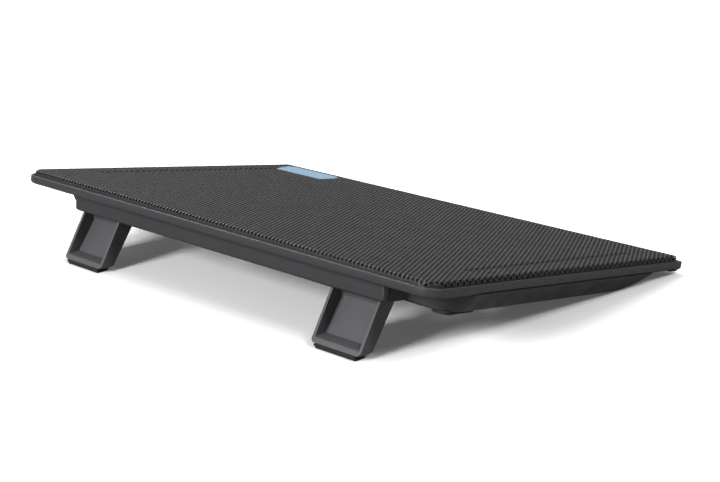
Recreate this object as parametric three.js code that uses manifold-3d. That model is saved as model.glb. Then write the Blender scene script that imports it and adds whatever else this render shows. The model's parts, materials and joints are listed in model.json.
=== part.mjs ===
// Laptop cooling pad: a perforated deck in a plastic rim, a lower shell with two fans,
// and two flip-out legs that raise the rear edge.
// Millimetres. World: +Z up, +X along the long edge, +Y from the raised rear edge to the front.
// Pad frame (inside the tilted group): the deck's top face is z = 0, its centre is the origin.
import * as THREE from "three";
import { mergeVertices } from "three/addons/utils/BufferGeometryUtils.js";
import Module from "manifold-3d";

const wasm = await Module();
wasm.setup();

// ---- driving dimensions ----
const LENGTH = 360;
const WIDTH = 250;
const TILT = THREE.MathUtils.degToRad(10);
const GAP = 0.3;

const RIM = { top: -3.2, bottom: -8.3, wall: 2.0, rearRadius: 13, frontRadius: 2.6, floor: 1.6 };
const LIP = { y0: 114, y1: 124, bottom: -9.8, halfX: 177.5 };
const DECK = { inset: 2.7, thickness: 0.6, flange: 4.2, rearRadius: 11, frontRadius: 2.4 };
const RIBS = {
  acrossY: [-106, -60, 72], alongX: [-146, 0, 146], spurs: [[-174.5, -130], [-14, 14], [130, 174.5]],
  halfX: 174.5, halfY: 119.5, halfThick: 0.9, bottom: -5.6, ledge: [4.4, 6.2],
};
const BADGE = {
  outline: [
    [-157, 91], [-113, 91], [-111.5, 93], [-113, 111],
    [-118, 117], [-163, 117], [-167.5, 113], [-160, 93],
  ],
  face: 0.9, flange: 0.8, reach: 1.2,
};

const SHELL = {
  top: -8.6, bottom: -20.6, wall: 2.0,
  halfTop: 179.6, halfBottom: 169,
  rear: -94.5, frontTop: 94, frontBottom: 66, frontPower: 0.65,
  rearRadius: 13, frontRadius: 5,
};
const HOUSING = { halfX: 138, rear: -113, radius: 3, wall: 3.0, bottomRound: 1.6 };

const LEG = {
  x: 113.5, width: 37.7, pivotY: -100, pivotZ: -14.5, swing: THREE.MathUtils.degToRad(114.3),
  heel: 5.8, tipFront: 4.6, tipRear: 4.5, wall: 2.0, endWall: 3.0,
  recessStart: 8, recessTop: 3.6, recessTipTop: 2.6, cornerCut: 3.0, tip: 43.7,
};
const SOLE = {
  rearReach: 45, rearDepth: -1.94, height: 3.0, length: 7.8,
  topRear: -1.5, topLength: 10.2, halfTop: 15.8, halfBottom: 15.2,
};
const WELL = { halfX: 19.45, y0: -110, y1: -53.5, ceiling: -8.2, plate: 1.5, side: 2.2 };
const PIN = { radius: 1.5, hole: 1.8, halfLength: 21.2 };
const SCOOP = { radius: 7, depth: 4.5 };

const FAN = {
  x: 72, y: 3, ringOuter: 56, ringInner: 54.4, ringBottom: -17.4, ringTop: -7.4,
  hubOuter: 19.5, hubWall: 1.4, hubTop: -6.4, hubBottom: -15.4, hubCap: 1.4,
  bladeTip: 52.6, bladeBottom: -15.6, bladeTop: -7.4, bladeThickness: 1.1, bladeCount: 9,
  bladeCamber: 0.05, bladeSweep: 0.28,
  baseRadius: 20, baseTop: -16.2, strutCount: 4, strutWidth: 5,
  tubeOuter: 4.4, tubeInner: 3.0, tubeTop: -9.4,
  bearingOuter: 2.7, bearingInner: 1.35, bearingTop: -9.7, shaftRadius: 1.05,
  statorOuter: 14.6, statorInner: 4.7, statorBottom: -15.0, statorTop: -10.4,
  magnetOuter: 17.8, magnetInner: 15.6, magnetTop: -8.4,
};
const GRILLE = { rings: [26, 34, 42, 50], slot: 4.4, arcs: 4, steps: 6, web: 3.6 };

const BAY = { halfX: 86, y0: -107, y1: -62, ceiling: -13.4, plate: 1.5, radius: 4 };
const CABLE = { radius: 1.7, z: -17.4, rows: [-70, -79, -88], halfRun: 66, turn: 4.5 };
const PLUG = {
  x0: -20, length: 27, width: 13, height: 6.6, y: -99.2,
  shell: 11.7, shellWidth: 12, shellHeight: 4.5, sheet: 0.5,
};

const PANEL = { face: -172.6, y0: -83, y1: -26, top: -8.9, back: -170.4 };
const BOARD = { x0: -167.2, x1: -143, y0: -80, y1: -25, z0: -17.9, z1: -16.3 };
const SOCKET = { y: [-70, -51], width: 13.2, height: 5.8, depth: 14, wall: 0.6, z0: -16.0 };
const SWITCH = {
  y: -35, setback: 1.3, body: [5.6, 11, 5.2], z0: -16.0, travel: 3, knob: [3.4, 3.2], slot: [8, 4.4],
};

const FOOT = { x0: 153, x1: 165.5, y0: -92.3, y1: -66.5, bottom: -22.8, recess: 0.9, radius: 3.4 };
const FRONT_FOOT = { x: 127, halfX: 13, y0: 66, y1: 78, height: 1.5 };
const SCREW = {
  head: 2.8, headHeight: 1.8, shank: 1.3, recess: 3.1, hole: 1.6, post: 4, seat: -14.4, top: -4.4,
};
const SCREW_SPOTS = [[-150, -14], [150, -14], [0, -52], [0, 62], [-146, 62], [146, 62], [150, -60]];

// ---- finishes ----
function finish(color, roughness, metalness = 0) {
  return new THREE.MeshStandardMaterial({ color, roughness, metalness });
}

const PLASTIC = () => finish(0x2e2c30, 0.6);
const STEEL = () => finish(0xb9bcc0, 0.35, 0.9);
const RUBBER = () => finish(0x121214, 0.9);

// ---- solid helpers ----
function solid(geometry) {
  const bare = geometry.clone();
  for (const name of Object.keys(bare.attributes)) {
    if (name !== "position") bare.deleteAttribute(name);
  }
  const merged = mergeVertices(bare, 1e-4);
  const vertProperties = new Float32Array(merged.attributes.position.array);
  const triVerts = new Uint32Array(merged.index.array);
  return new wasm.Manifold(new wasm.Mesh({ numProp: 3, vertProperties, triVerts }));
}

function toGeometry(manifold) {
  const mesh = manifold.getMesh();
  const geometry = new THREE.BufferGeometry();
  geometry.setAttribute("position", new THREE.BufferAttribute(mesh.vertProperties, 3));
  geometry.setIndex(new THREE.BufferAttribute(mesh.triVerts, 1));
  geometry.computeVertexNormals();
  return geometry;
}

const join = (...parts) => parts.reduce((sum, part) => sum.add(part));
const cut = (body, ...tools) => tools.reduce((rest, tool) => rest.subtract(tool), body);

function box(x0, x1, y0, y1, z0, z1) {
  const shape = new THREE.BoxGeometry(x1 - x0, y1 - y0, z1 - z0);
  return solid(shape.translate((x0 + x1) / 2, (y0 + y1) / 2, (z0 + z1) / 2));
}

function cylinder(x, y, radius, z0, z1, segments = 24) {
  const shape = new THREE.CylinderGeometry(radius, radius, z1 - z0, segments);
  return solid(shape.rotateX(Math.PI / 2).translate(x, y, (z0 + z1) / 2));
}

function tube(x, y, outer, inner, z0, z1, segments = 24) {
  return cut(cylinder(x, y, outer, z0, z1, segments), cylinder(x, y, inner, z0 - 1, z1 + 1, segments));
}

function crossRod(x0, x1, y, z, radius, segments = 16) {
  const shape = new THREE.CylinderGeometry(radius, radius, x1 - x0, segments);
  return solid(shape.rotateZ(Math.PI / 2).translate((x0 + x1) / 2, y, z));
}

// Extrudes a closed outline of [x, y] points from z0 to z1.
function prism(points, z0, z1) {
  const shape = new THREE.Shape(points.map(([x, y]) => new THREE.Vector2(x, y)));
  const body = new THREE.ExtrudeGeometry(shape, { depth: z1 - z0, bevelEnabled: false });
  return solid(body.translate(0, 0, z0));
}

// Extrudes a closed outline of [y, z] points along X from x0 to x1.
function crossPrism(points, x0, x1) {
  const shape = new THREE.Shape(points.map(([y, z]) => new THREE.Vector2(y, z)));
  const body = new THREE.ExtrudeGeometry(shape, { depth: x1 - x0, bevelEnabled: false });
  const toWorld = new THREE.Matrix4().set(0, 0, 1, x0, 1, 0, 0, 0, 0, 1, 0, 0, 0, 0, 0, 1);
  return solid(body.applyMatrix4(toWorld));
}

// Outline of a rectangle with its own corner radius at the low-Y and the high-Y end.
function roundedOutline(x0, x1, y0, y1, lowRadius, highRadius, steps = 5) {
  const corners = [
    [x1 - lowRadius, y0 + lowRadius, lowRadius, -90], [x1 - highRadius, y1 - highRadius, highRadius, 0],
    [x0 + highRadius, y1 - highRadius, highRadius, 90], [x0 + lowRadius, y0 + lowRadius, lowRadius, 180],
  ];
  const points = [];
  for (const [cx, cy, radius, start] of corners) {
    for (let i = 0; i <= steps; i++) {
      const angle = THREE.MathUtils.degToRad(start + (90 * i) / steps);
      points.push([cx + radius * Math.cos(angle), cy + radius * Math.sin(angle)]);
    }
  }
  return points;
}

// Skins a stack of outlines with equal point counts; each level is { z, points }, from low to high.
function loft(levels) {
  const count = levels[0].points.length;
  const positions = [];
  const index = [];
  for (const { z, points } of levels) for (const [x, y] of points) positions.push(x, y, z);
  for (let level = 0; level + 1 < levels.length; level++) {
    for (let i = 0; i < count; i++) {
      const a = level * count + i;
      const b = level * count + ((i + 1) % count);
      index.push(a, b, b + count, a, b + count, a + count);
    }
  }
  const outline = levels[0].points.map(([x, y]) => new THREE.Vector2(x, y));
  const cap = THREE.ShapeUtils.triangulateShape(outline, []);
  const last = (levels.length - 1) * count;
  for (const [a, b, c] of cap) index.push(a, c, b, last + a, last + b, last + c);
  const geometry = new THREE.BufferGeometry();
  geometry.setAttribute("position", new THREE.Float32BufferAttribute(positions, 3));
  geometry.setIndex(index);
  return solid(geometry);
}

// ---- deck, badge and rim ----
function deckSolid(inset, top, drop) {
  const level = (z, shrink) => ({
    z,
    points: roundedOutline(
      -LENGTH / 2 + DECK.inset + inset + shrink, LENGTH / 2 - DECK.inset - inset - shrink,
      -WIDTH / 2 + DECK.inset + inset + shrink, WIDTH / 2 - DECK.inset - inset - shrink,
      DECK.rearRadius - inset - shrink, DECK.frontRadius - inset - shrink),
  });
  return loft([level(drop, 0), level(top - 1.4, 0), level(top - 0.4, 0.4), level(top, 1.3)]);
}

// Moves every edge of a counter-clockwise outline outwards by reach.
function grow(points, reach) {
  const sides = points.map(([x, y], i) => {
    const [nextX, nextY] = points[(i + 1) % points.length];
    const length = Math.hypot(nextX - x, nextY - y);
    return [(nextY - y) / length, (x - nextX) / length];
  });
  return points.map(([x, y], i) => {
    const [ax, ay] = sides[(i + points.length - 1) % points.length];
    const [bx, by] = sides[i];
    const scale = reach / (1 + ax * bx + ay * by);
    return [x + (ax + bx) * scale, y + (ay + by) * scale];
  });
}

const badgeBlock = (reach, z0, z1) => prism(grow(BADGE.outline, reach), z0, z1);

function meshDeck() {
  const inside = deckSolid(DECK.thickness, -DECK.thickness, -DECK.flange - 1);
  return cut(deckSolid(0, 0, -DECK.flange), inside, badgeBlock(GAP, -2, 1));
}

// The badge lies flush in its opening, and a wider flange under the deck holds it.
function badgePlate() {
  const seat = -BADGE.face - BADGE.flange;
  return join(badgeBlock(0, seat, 0), badgeBlock(BADGE.reach, seat, -BADGE.face));
}

// The rim's outline in plan, moved inwards; its corners keep at least the least radius.
function rimOutline(inset, least = 0, steps = 5) {
  const halfX = LENGTH / 2 - inset;
  const halfY = WIDTH / 2 - inset;
  const rear = Math.max(RIM.rearRadius - inset, least);
  const front = Math.max(RIM.frontRadius - inset, least);
  return roundedOutline(-halfX, halfX, -halfY, halfY, rear, front, steps);
}

function rimOuter() {
  const level = (z, inset) => ({ z, points: rimOutline(inset, 0, 6) });
  return loft([
    level(RIM.bottom, 1.0), level(RIM.bottom + 1.0, 0.15),
    level(RIM.top - 0.5, 0), level(RIM.top, 0.35),
  ]);
}

// The opening in the rim's floor, over the tub and the rear housing.
function frameOpening() {
  const [z0, z1] = [RIM.bottom - 1, RIM.bottom + RIM.floor + 1];
  const main = roundedOutline(-171, 171, SHELL.rear + 4, 84, 9, 9);
  const halfX = HOUSING.halfX - 4;
  const rear = roundedOutline(-halfX, halfX, HOUSING.rear + 4, SHELL.rear + 8, 2, 2);
  return join(prism(main, z0, z1), prism(rear, z0, z1));
}

// The ledge and ribs under the deck; crossing ribs differ a little in height and width.
function deckSupports() {
  const { halfX, halfY, halfThick, bottom, ledge } = RIBS;
  const top = -DECK.thickness - GAP;
  const [outer, inner] = ledge.map((inset) => rimOutline(inset, 3));
  const floor = RIM.bottom + RIM.floor - 0.2;
  const ribs = [cut(prism(outer, floor, top), prism(inner, floor - 1, top + 1))];
  const across = (x0, x1, y) => box(x0, x1, y - halfThick, y + halfThick, bottom, top - 0.1);
  const along = (x, half) => box(x - half, x + half, -halfY, halfY, bottom + 0.1, top - 0.2);
  for (const y of RIBS.acrossY) ribs.push(across(-halfX, halfX, y));
  for (const x of RIBS.alongX) ribs.push(along(x, halfThick - 0.1));
  for (const [x0, x1] of RIBS.spurs) ribs.push(across(x0, x1, FAN.y));
  for (const side of [-1, 1]) ribs.push(fanCollar(side, top));
  for (const [x, y] of SCREW_SPOTS) {
    ribs.push(cylinder(x, y, SCREW.post - 0.5, SHELL.top + 0.4, top, 12));
  }
  return join(...ribs);
}

const COLLAR = { inner: FAN.ringOuter + 1.2, outer: FAN.ringOuter + 3, bottom: -8.2, relief: -5.2 };

function fanCollar(side, top) {
  return tube(side * FAN.x, FAN.y, COLLAR.outer, COLLAR.inner, COLLAR.bottom, top, 36);
}

function fanClearance(side) {
  return cylinder(side * FAN.x, FAN.y, COLLAR.inner, RIM.bottom - 1, COLLAR.relief, 36);
}

// The low lip under the rim's front edge.
function frontLip() {
  const profile = [
    [LIP.y0, RIM.bottom + 0.2], [LIP.y0 + 1, LIP.bottom],
    [LIP.y1 - 1, LIP.bottom], [LIP.y1, RIM.bottom + 0.8],
  ];
  return crossPrism(profile, -LIP.halfX, LIP.halfX);
}

function upperFrame() {
  const pocket = prism(rimOutline(RIM.wall), RIM.bottom + RIM.floor, RIM.top + 1);
  const tray = cut(rimOuter(), pocket, frameOpening());
  const body = join(tray, frontLip(), deckSupports());
  const bores = SCREW_SPOTS.map(([x, y]) => (
    cylinder(x, y, SCREW.hole, SHELL.top - 1, SCREW.top + 0.6, 8)));
  const badgeRoom = badgeBlock(BADGE.reach + GAP, -BADGE.face - BADGE.flange - GAP, 0);
  return cut(body, ...bores, badgeRoom, fanClearance(-1), fanClearance(1), ...wellClearances());
}

function wellClearances() {
  const side = WELL.halfX + WELL.side + GAP;
  return [-1, 1].map((s) => box(s * LEG.x - side, s * LEG.x + side, WELL.y0 - 2.5, WELL.y1 + 3,
    -9, WELL.ceiling + WELL.plate + GAP));
}

// ---- lower shell ----
// Outline of the main tub at height z, moved inwards by inset.
function tubLevel(z, inset = 0) {
  const drop = THREE.MathUtils.clamp((SHELL.top - z) / (SHELL.top - SHELL.bottom), 0, 1);
  const half = THREE.MathUtils.lerp(SHELL.halfTop, SHELL.halfBottom, drop) - inset;
  const reach = Math.sqrt(1 - Math.pow(drop, 1 / SHELL.frontPower));
  const front = SHELL.frontBottom + (SHELL.frontTop - SHELL.frontBottom) * reach - inset;
  const [rearRadius, frontRadius] = [SHELL.rearRadius - inset, SHELL.frontRadius - inset];
  return { z, points: roundedOutline(-half, half, SHELL.rear + inset, front, rearRadius, frontRadius) };
}

function tub(inset, bottom, top) {
  const steps = [1, 0.96, 0.86, 0.7, 0.5, 0.25, 0];
  const shift = bottom - SHELL.bottom;
  const levels = steps.map((s) => {
    const level = tubLevel(THREE.MathUtils.lerp(SHELL.top, SHELL.bottom, s), inset);
    return { z: level.z + shift * s, points: level.points };
  });
  if (top > SHELL.top) levels.push({ z: top, points: levels[levels.length - 1].points });
  return loft(levels);
}

function housing(inset, bottom, top) {
  const level = (z, shrink) => ({
    z,
    points: roundedOutline(-HOUSING.halfX + inset + shrink, HOUSING.halfX - inset - shrink,
      HOUSING.rear + inset + shrink, SHELL.rear + 12, HOUSING.radius, HOUSING.radius, 4),
  });
  const round = HOUSING.bottomRound;
  return loft([
    level(bottom, round), level(bottom + round * 0.3, round * 0.3),
    level(bottom + round, 0), level(top, 0),
  ]);
}

function wellBlock(side) {
  const x = side * LEG.x;
  return box(x - WELL.halfX - WELL.side, x + WELL.halfX + WELL.side, HOUSING.rear + 1, WELL.y1 + 2.2,
    SHELL.bottom + 0.5, WELL.ceiling + WELL.plate);
}

function wellCut(side) {
  const x = side * LEG.x;
  const pocket = box(x - WELL.halfX, x + WELL.halfX, WELL.y0, WELL.y1, SHELL.bottom - 1, WELL.ceiling);
  const reach = WELL.halfX + WELL.side + 1;
  return join(pocket, crossRod(x - reach, x + reach, LEG.pivotY, LEG.pivotZ, PIN.hole));
}

function scoop(side) {
  const bowl = new THREE.SphereGeometry(SCOOP.radius, 12, 6).scale(1, 0.8, SCOOP.depth / SCOOP.radius);
  return solid(bowl.translate(side * LEG.x, WELL.y1, SHELL.bottom));
}

function scoopBlock(side) {
  const x = side * LEG.x;
  return box(x - SCOOP.radius - 1.6, x + SCOOP.radius + 1.6, WELL.y1 - 1, WELL.y1 + SCOOP.radius + 1,
    SHELL.bottom + 0.5, SHELL.bottom + SCOOP.depth + 2);
}

// The cable bay's plan, moved outwards by reach.
function bayPrism(reach, z0, z1) {
  const halfX = BAY.halfX + reach;
  const outline = roundedOutline(-halfX, halfX, BAY.y0 - reach, BAY.y1 + reach, BAY.radius, BAY.radius, 3);
  return prism(outline, z0, z1);
}

const bayBlock = () => bayPrism(1.6, SHELL.bottom + 0.5, BAY.ceiling + BAY.plate);
const bayCut = () => bayPrism(0, SHELL.bottom - 1, BAY.ceiling);

function grilleArc(x, radius, index) {
  const half = GRILLE.slot / 2;
  const start = (2 * Math.PI * index) / GRILLE.arcs;
  const span = (2 * Math.PI) / GRILLE.arcs;
  const points = [];
  for (const [r, forward] of [[radius + half, true], [radius - half, false]]) {
    const trim = GRILLE.web / 2 / r;
    for (let i = 0; i <= GRILLE.steps; i++) {
      const t = forward ? i / GRILLE.steps : 1 - i / GRILLE.steps;
      const angle = start + trim + (span - 2 * trim) * t;
      points.push([x + r * Math.cos(angle), FAN.y + r * Math.sin(angle)]);
    }
  }
  return prism(points, SHELL.bottom - 1, SHELL.bottom + 4);
}

function grille(side) {
  const slots = [];
  for (const radius of GRILLE.rings) {
    for (let i = 0; i < GRILLE.arcs; i++) slots.push(grilleArc(side * FAN.x, radius, i));
  }
  return join(...slots);
}

function screwBore([x, y]) {
  return join(
    cylinder(x, y, SCREW.recess, SHELL.bottom - 1, SCREW.seat, 14),
    cylinder(x, y, SCREW.hole, SCREW.seat - 1, SHELL.top + 1, 8));
}

function socketHole(y) {
  const z = SOCKET.z0 + SOCKET.height / 2;
  const halfY = SOCKET.width / 2 + GAP;
  const halfZ = SOCKET.height / 2 + GAP;
  return box(PANEL.face - 2, PANEL.back + 2, y - halfY, y + halfY, z - halfZ, z + halfZ);
}

function switchHole() {
  const z = SWITCH.z0 + SWITCH.body[2] / 2;
  const [halfY, halfZ] = SWITCH.slot.map((size) => size / 2);
  return box(PANEL.face - 2, PANEL.back + 2, SWITCH.y - halfY, SWITCH.y + halfY, z - halfZ, z + halfZ);
}

function footRecess(side) {
  const [x0, x1] = side > 0 ? [FOOT.x0, FOOT.x1] : [-FOOT.x1, -FOOT.x0];
  return prism(roundedOutline(x0 - GAP, x1 + GAP, FOOT.y0 - GAP, FOOT.y1 + GAP, FOOT.radius, FOOT.radius, 4),
    SHELL.bottom - 1, SHELL.bottom + FOOT.recess);
}

const screwPost = ([x, y]) => cylinder(x, y, SCREW.post, SHELL.bottom + 0.5, SHELL.top, 12);

// Everything that stands inside the shell: wells, scoops, bay, posts and the socket panel.
function shellInside() {
  const panel = box(PANEL.face - 4, PANEL.back, PANEL.y0, PANEL.y1, SHELL.bottom + 1, PANEL.top);
  const pairs = [-1, 1].flatMap((side) => [wellBlock(side), scoopBlock(side)]);
  return join(panel, bayBlock(), ...pairs, ...SCREW_SPOTS.map(screwPost));
}

// The flat face cut into the left side for the sockets.
function panelFacet() {
  const [y0, y1] = [PANEL.y0 + 2, PANEL.y1 - 2];
  return box(PANEL.face - 12, PANEL.face, y0, y1, SHELL.bottom - 1, PANEL.top - 0.8);
}

const CABLE_START_X = -BAY.halfX + 8;

function cableHole() {
  return cylinder(CABLE_START_X, CABLE.rows[0], CABLE.radius + 1.4, BAY.ceiling - 1, BAY.ceiling + 3, 12);
}

function lowerShell() {
  const outside = (top) => join(tub(0, SHELL.bottom, top), housing(0, SHELL.bottom, top));
  const floor = SHELL.bottom + SHELL.wall;
  const hollow = join(tub(SHELL.wall, floor, SHELL.top + 1), housing(HOUSING.wall, floor, SHELL.top + 1));
  const shell = join(cut(outside(SHELL.top), hollow), shellInside().intersect(outside(RIM.top)));
  const pairs = [-1, 1].flatMap((side) => [
    wellCut(side), scoop(side), grille(side), footRecess(side), frontRecess(side)]);
  return cut(shell, panelFacet(), bayCut(), cableHole(), switchHole(), ...pairs,
    ...SCREW_SPOTS.map(screwBore), ...SOCKET.y.map(socketHole));
}

// ---- legs ----
// Leg frame: origin on the pivot, +Y from pivot to tip when folded, +Z up when folded.
// The ground line in that frame, for the standing leg.
const groundAngle = LEG.swing + TILT;
const GROUND = [Math.cos(groundAngle), Math.sin(groundAngle)];
const LIFT = [-GROUND[1], GROUND[0]];

// The point at this distance along the ground from the sole's rear edge, and this height above it.
function alongGround(distance, height) {
  const y = SOLE.rearReach + GROUND[0] * distance + LIFT[0] * height;
  const z = SOLE.rearDepth + GROUND[1] * distance + LIFT[1] * height;
  return [y, z];
}

// Where the line at this height above the ground meets the leg's face at the given depth.
function groundMeets(height, depth) {
  const [, z] = alongGround(0, height);
  return alongGround((depth - z) / GROUND[1], height);
}

function legProfile() {
  const points = [groundMeets(SOLE.height + GAP, LEG.tipFront)];
  for (let i = 0; i <= 8; i++) {
    const angle = Math.PI / 2 + (Math.PI * i) / 8;
    points.push([LEG.heel * Math.cos(angle), LEG.heel * Math.sin(angle)]);
  }
  points.push([11, -LEG.heel], groundMeets(SOLE.height + GAP, -LEG.tipRear));
  return points;
}

function recessProfile() {
  const height = SOLE.height + GAP + LEG.endWall;
  return [
    [LEG.recessStart, -LEG.heel - 2], groundMeets(height, -LEG.heel - 2),
    groundMeets(height, LEG.recessTipTop),
    [LEG.recessStart + 3, LEG.recessTop], [LEG.recessStart, LEG.recessTop - 3],
  ];
}

function leg() {
  const half = LEG.width / 2;
  const c = LEG.cornerCut;
  const plan = [
    [-half, -10], [half, -10], [half, LEG.tip - c],
    [half - c, LEG.tip], [-half + c, LEG.tip], [-half, LEG.tip - c],
  ];
  const body = crossPrism(legProfile(), -half, half).intersect(prism(plan, -12, 12));
  const recess = crossPrism(recessProfile(), -half + LEG.wall, half - LEG.wall);
  return cut(body, recess, crossRod(-half - 1, half + 1, 0, 0, PIN.hole));
}

function sole() {
  const topFront = SOLE.topRear + SOLE.topLength;
  const top = [alongGround(SOLE.topRear, SOLE.height), alongGround(topFront, SOLE.height)];
  const low = [alongGround(0, 0), alongGround(SOLE.length, 0)];
  const positions = [];
  for (const [half, [rear, front]] of [[SOLE.halfBottom, low], [SOLE.halfTop, top]]) {
    positions.push(-half, ...rear, half, ...rear, half, ...front, -half, ...front);
  }
  const index = [0, 2, 1, 0, 3, 2, 4, 5, 6, 4, 6, 7];
  for (let i = 0; i < 4; i++) {
    const j = (i + 1) % 4;
    index.push(i, j, j + 4, i, j + 4, i + 4);
  }
  const geometry = new THREE.BufferGeometry();
  geometry.setAttribute("position", new THREE.Float32BufferAttribute(positions, 3));
  geometry.setIndex(index);
  return solid(geometry);
}

function hingePin() {
  return crossRod(-PIN.halfLength, PIN.halfLength, 0, 0, PIN.radius);
}

// ---- fans: built around the shaft, which is the fan group's Z axis ----
function fanFrame() {
  const ring = tube(0, 0, FAN.ringOuter, FAN.ringInner, FAN.ringBottom, FAN.ringTop, 40);
  const base = cylinder(0, 0, FAN.baseRadius, FAN.ringBottom, FAN.baseTop, 24);
  const struts = [];
  for (let i = 0; i < FAN.strutCount; i++) {
    const strut = new THREE.BoxGeometry(FAN.ringInner, FAN.strutWidth, FAN.baseTop - FAN.ringBottom);
    strut.translate(FAN.ringInner / 2 + 1, 0, (FAN.baseTop + FAN.ringBottom) / 2);
    struts.push(solid(strut.rotateZ(Math.PI / 4 + (2 * Math.PI * i) / FAN.strutCount)));
  }
  const bearingTube = cylinder(0, 0, FAN.tubeOuter, FAN.baseTop - 0.2, FAN.tubeTop, 16);
  const seat = cylinder(0, 0, FAN.tubeInner, FAN.ringBottom + 0.6, 0, 16);
  return cut(join(ring, base, ...struts, bearingTube), seat);
}

// One pole of the stator as [degrees, radius]: its curved shoe, then the neck back to the core.
const POLE = {
  count: 4,
  outline: [
    [-30, 12.2], [-34, FAN.statorOuter], [-18, FAN.statorOuter], [0, FAN.statorOuter],
    [18, FAN.statorOuter], [34, FAN.statorOuter], [30, 12.2], [16, 11.0], [37, 6.6], [53, 6.6], [74, 11.0],
  ],
};

function fanStator() {
  const outline = [];
  for (let pole = 0; pole < POLE.count; pole++) {
    for (const [degrees, radius] of POLE.outline) {
      const angle = THREE.MathUtils.degToRad((360 * pole) / POLE.count + degrees);
      outline.push([radius * Math.cos(angle), radius * Math.sin(angle)]);
    }
  }
  const core = cylinder(0, 0, FAN.statorInner, FAN.statorBottom - 1, FAN.statorTop + 1, 16);
  return cut(prism(outline, FAN.statorBottom, FAN.statorTop), core);
}

// A thin, slightly cambered section, as [along the chord, through the blade].
function bladeSection(chord) {
  const half = FAN.bladeThickness / 2;
  const sag = FAN.bladeCamber * chord;
  return [
    [-chord / 2, -half], [0, -half - sag], [chord / 2, -half],
    [chord / 2, half], [0, half - sag], [-chord / 2, half],
  ];
}

// One blade: thin sections at growing radius, pitched less towards the tip.
function fanBlade() {
  const stations = [[FAN.hubOuter - 0.6, 50], [30, 42], [42, 35], [FAN.bladeTip, 29]];
  const middle = (FAN.bladeTop + FAN.bladeBottom) / 2;
  const height = FAN.bladeTop - FAN.bladeBottom;
  const levels = stations.map(([radius, pitch]) => {
    const angle = THREE.MathUtils.degToRad(pitch);
    const chord = (height - FAN.bladeThickness) / Math.sin(angle);
    const sweep = (radius - FAN.hubOuter) * FAN.bladeSweep;
    const points = bladeSection(chord).map(([u, v]) => {
      const across = u * Math.cos(angle) - v * Math.sin(angle) + sweep;
      const up = middle + u * Math.sin(angle) + v * Math.cos(angle);
      return [across, up];
    });
    return { z: radius, points };
  });
  const tipwards = new THREE.Matrix4().set(0, 0, 1, 0, 1, 0, 0, 0, 0, 1, 0, 0, 0, 0, 0, 1);
  return toGeometry(loft(levels)).applyMatrix4(tipwards);
}

function fanRotor() {
  const hub = cut(
    cylinder(0, 0, FAN.hubOuter, FAN.hubBottom, FAN.hubTop, 32),
    cylinder(0, 0, FAN.hubOuter - FAN.hubWall, FAN.hubBottom - 1, FAN.hubTop - FAN.hubCap, 32),
    cylinder(0, 0, FAN.shaftRadius + GAP, FAN.hubTop - FAN.hubCap - 1, FAN.hubTop - 0.5, 12));
  const blades = [];
  const bore = cylinder(0, 0, FAN.hubOuter - FAN.hubWall * 0.7, -20, 0, 32);
  for (let i = 0; i < FAN.bladeCount; i++) {
    blades.push(solid(fanBlade().rotateZ((2 * Math.PI * i) / FAN.bladeCount)).subtract(bore));
  }
  return join(hub, ...blades).intersect(cylinder(0, 0, FAN.bladeTip, FAN.hubBottom - 1, FAN.hubTop + 1, 48));
}

function fanBearing() {
  return tube(0, 0, FAN.bearingOuter, FAN.bearingInner, FAN.ringBottom + 0.9, FAN.bearingTop, 16);
}

function fanShaft() {
  return cylinder(0, 0, FAN.shaftRadius, FAN.ringBottom + 1.1, FAN.hubTop - 0.8, 12);
}

function fanMagnet() {
  return tube(0, 0, FAN.magnetOuter, FAN.magnetInner, FAN.hubBottom + 0.4, FAN.magnetTop, 32);
}

// ---- electronics and cable ----
const controlBoard = () => box(BOARD.x0, BOARD.x1, BOARD.y0, BOARD.y1, BOARD.z0, BOARD.z1);

function usbSocket(y) {
  const z0 = SOCKET.z0;
  const x0 = PANEL.face + 0.4;
  const halfY = SOCKET.width / 2;
  const body = box(x0, x0 + SOCKET.depth, y - halfY, y + halfY, z0, z0 + SOCKET.height);
  const mouth = box(x0 - 1, x0 + SOCKET.depth - 1.5, y - halfY + SOCKET.wall, y + halfY - SOCKET.wall,
    z0 + SOCKET.wall, z0 + SOCKET.height - SOCKET.wall);
  const tongue = box(x0 + 1, x0 + SOCKET.depth - 1, y - halfY + 1.4, y + halfY - 1.4, z0 + 3.2, z0 + 4.6);
  return join(cut(body, mouth), tongue);
}

function switchBody() {
  const [deep, long, high] = SWITCH.body;
  const x0 = PANEL.back + SWITCH.setback;
  const body = box(x0, x0 + deep, SWITCH.y - long / 2, SWITCH.y + long / 2, SWITCH.z0, SWITCH.z0 + high);
  const z = SWITCH.z0 + high / 2;
  return cut(body, box(x0 - 1, x0 + deep - 1.6, SWITCH.y - 4.1, SWITCH.y + 4.1, z - 1.9, z + 1.9));
}

function switchSlider() {
  const [deep, , high] = SWITCH.body;
  const [long, tall] = SWITCH.knob;
  const z = SWITCH.z0 + high / 2;
  const y = SWITCH.y - SWITCH.travel / 2;
  const x1 = PANEL.back + deep - 1.6;
  return box(PANEL.face - 1.4, x1, y - long / 2, y + long / 2, z - tall / 2, z + tall / 2);
}

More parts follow.
